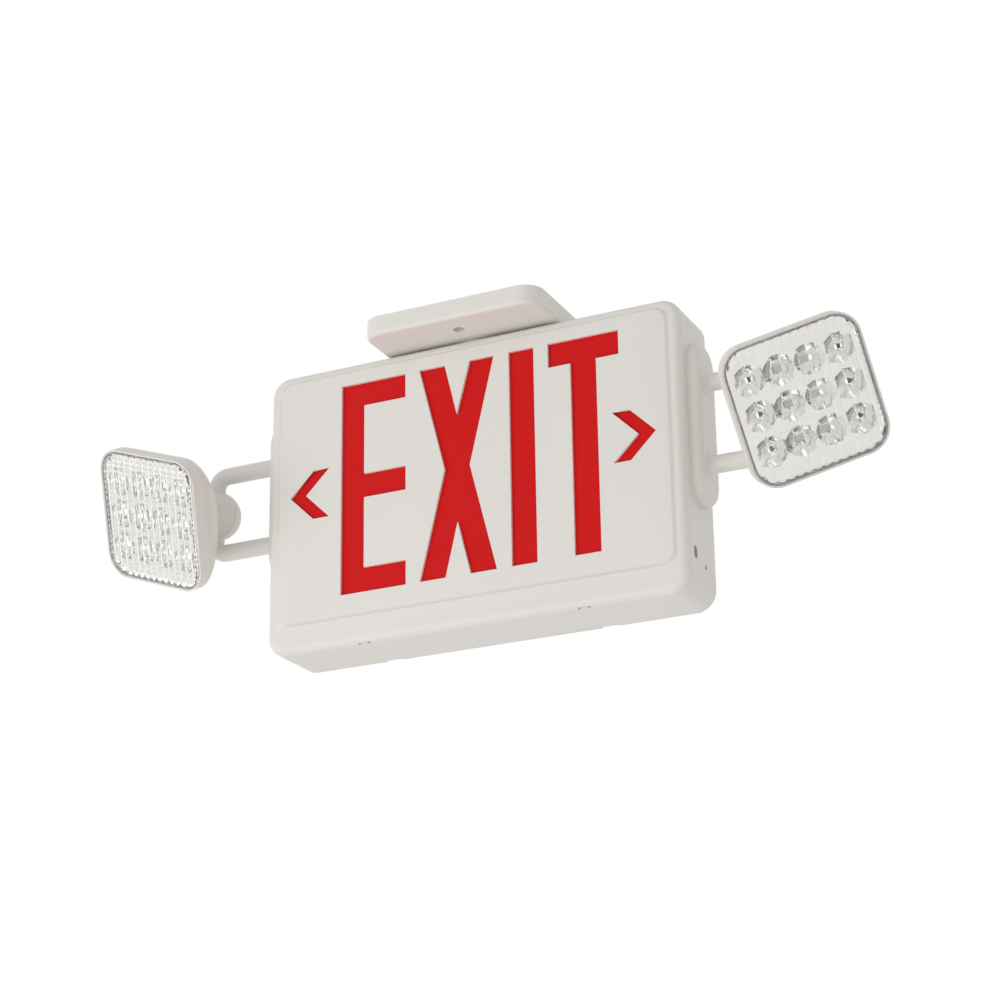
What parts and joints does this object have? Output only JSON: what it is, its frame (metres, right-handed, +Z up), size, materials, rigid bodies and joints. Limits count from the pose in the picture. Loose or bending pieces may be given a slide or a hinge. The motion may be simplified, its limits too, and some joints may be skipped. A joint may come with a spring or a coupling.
{
  "type": "emergency exit light",
  "caption": "Edge-hung exit sign housing with chevrons and ceiling canopy, flanked by square lamp heads on swivel arms.",
  "frame": {"origin": "centre of the ceiling crossbar's upper face, level with the canopy's rim", "axes": "+Z up into the ceiling, sign faces -Y, +X along the sign's width towards the test button's side"},
  "size_m": [0.5664, 0.1432, 0.2198],
  "materials": {
    "housing_white": "fine moulded texture, warm white",
    "diffuser_red": "smooth translucent red sheet",
    "tray_white": "smooth bright white",
    "zinc_steel": "bright zinc plate",
    "board_green": "coated circuit board",
    "board_white": "white coated circuit board",
    "led_yellow": "phosphor cap",
    "core_steel": "laminated steel",
    "coil_copper": "enamelled copper",
    "capacitor_can": "sleeved can",
    "terminal_grey": "moulded",
    "cell_sleeve": "sleeved rechargeable cell",
    "strap_black": "woven strap",
    "button_grey": "moulded",
    "switch_black": "moulded",
    "light_guide": "tinted light guide",
    "swivel_nylon": "smooth nylon",
    "lens_clear": "clear fluted lens",
    "reflector_silver": "vacuum metallised",
    "board_aluminium": "white coated aluminium board"
  },
  "bodies": {
    "fixture": {"canopy": "housing_white", "crossbar": "zinc_steel", "canopy_screws": "zinc_steel", "canopy_stem": "zinc_steel", "stem_locknuts": "zinc_steel", "front_housing": "housing_white", "legend_diffuser": "diffuser_red", "light_tray": "tray_white", "tray_screws": "zinc_steel", "legend_led_boards": "board_white", "legend_leds": "led_yellow", "back_plate": "housing_white", "charger_board": "board_green", "board_screws": "zinc_steel", "transformer_core": "core_steel", "transformer_coil": "coil_copper", "capacitors": "capacitor_can", "terminal_block": "terminal_grey", "battery_cradle": "tray_white", "battery_cells": "cell_sleeve", "battery_straps": "strap_black", "test_board": "board_green", "test_switch": "switch_black", "status_light": "light_guide", "left_arm": "housing_white", "left_arm_screws": "zinc_steel", "right_arm": "housing_white", "right_arm_screws": "zinc_steel"},
    "left_knuckle": {"left_knuckle_front": "housing_white", "left_knuckle_rear": "housing_white", "left_knuckle_screws": "zinc_steel", "left_swivel_bolt": "zinc_steel"},
    "left_swivel": {"left_swivel_ball": "swivel_nylon"},
    "left_lamp": {"left_lamp_shell": "housing_white", "left_socket_retainer": "swivel_nylon", "left_retainer_screws": "zinc_steel", "left_lamp_lens": "lens_clear", "left_lamp_reflector": "reflector_silver", "left_lamp_board": "board_aluminium", "left_lamp_leds": "led_yellow"},
    "right_knuckle": {"right_knuckle_front": "housing_white", "right_knuckle_rear": "housing_white", "right_knuckle_screws": "zinc_steel", "right_swivel_bolt": "zinc_steel"},
    "right_swivel": {"right_swivel_ball": "swivel_nylon"},
    "right_lamp": {"right_lamp_shell": "housing_white", "right_socket_retainer": "swivel_nylon", "right_retainer_screws": "zinc_steel", "right_lamp_lens": "lens_clear", "right_lamp_reflector": "reflector_silver", "right_lamp_board": "board_aluminium", "right_lamp_leds": "led_yellow"},
    "test_button": {"test_button": "button_grey"}
  },
  "joints": [
    {"name": "left_pan", "type": "hinge", "parent": "fixture", "child": "left_knuckle", "pos_m": [-0.213, 0.0045, -0.099], "axis": [0, 0, -1], "range_deg": [-24, 81]},
    {"name": "left_roll", "type": "hinge", "parent": "left_knuckle", "child": "left_swivel", "pos_m": [-0.21722, -0.02217, -0.099], "axis": [0.1564, 0.9877, 0], "range_deg": [-111, 69]},
    {"name": "left_tilt", "type": "hinge", "parent": "left_swivel", "child": "left_lamp", "pos_m": [-0.21722, -0.02217, -0.099], "axis": [0.9221, -0.146, -0.3584], "range_deg": [-65, 3]},
    {"name": "right_pan", "type": "hinge", "parent": "fixture", "child": "right_knuckle", "pos_m": [0.213, 0.0045, -0.099], "axis": [0, 0, 1], "range_deg": [-40, 65]},
    {"name": "right_roll", "type": "hinge", "parent": "right_knuckle", "child": "right_swivel", "pos_m": [0.22441, -0.01997, -0.099], "axis": [0.4226, -0.9063, 0], "range_deg": [-111, 69]},
    {"name": "right_tilt", "type": "hinge", "parent": "right_swivel", "child": "right_lamp", "pos_m": [0.22441, -0.01997, -0.099], "axis": [0.8461, 0.3945, 0.3584], "range_deg": [-65, 3]},
    {"name": "test_button_press", "type": "slide", "parent": "fixture", "child": "test_button", "axis": [-1, 0, 0], "range_m": [0, 0.0012], "stiffness_N_per_m": 800}
  ]
}
